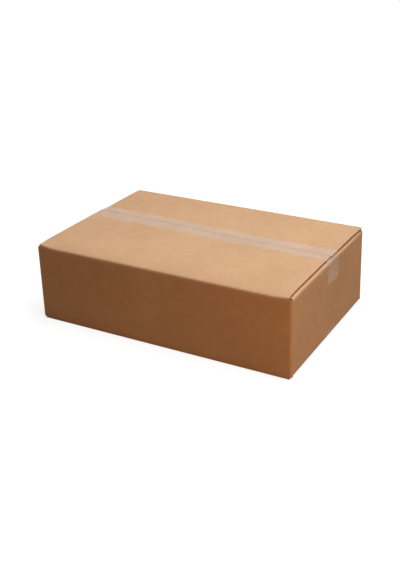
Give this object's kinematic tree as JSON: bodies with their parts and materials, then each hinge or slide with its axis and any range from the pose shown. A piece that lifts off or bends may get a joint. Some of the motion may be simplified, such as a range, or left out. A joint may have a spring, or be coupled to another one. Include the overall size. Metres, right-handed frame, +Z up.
{
  "type": "closed cardboard box",
  "caption": "Flat rectangular carton of corrugated board, its top and bottom flaps folded shut and sealed along their seams with clear tape.",
  "frame": {"origin": "on the floor plane under the middle of the box, at the bottom tape's lower face", "axes": "+X along the length towards the end that shows the short pieces of tape, +Y towards the back, +Z up"},
  "size_m": [0.4802, 0.315, 0.1442],
  "materials": {
    "board": "matte brown kraft liner",
    "clear_tape": "clear film, slightly hazy and wrinkled"
  },
  "bodies": {
    "root": {"carton": "board", "top_tape": "clear_tape", "bottom_tape": "clear_tape"}
  },
  "joints": []
}
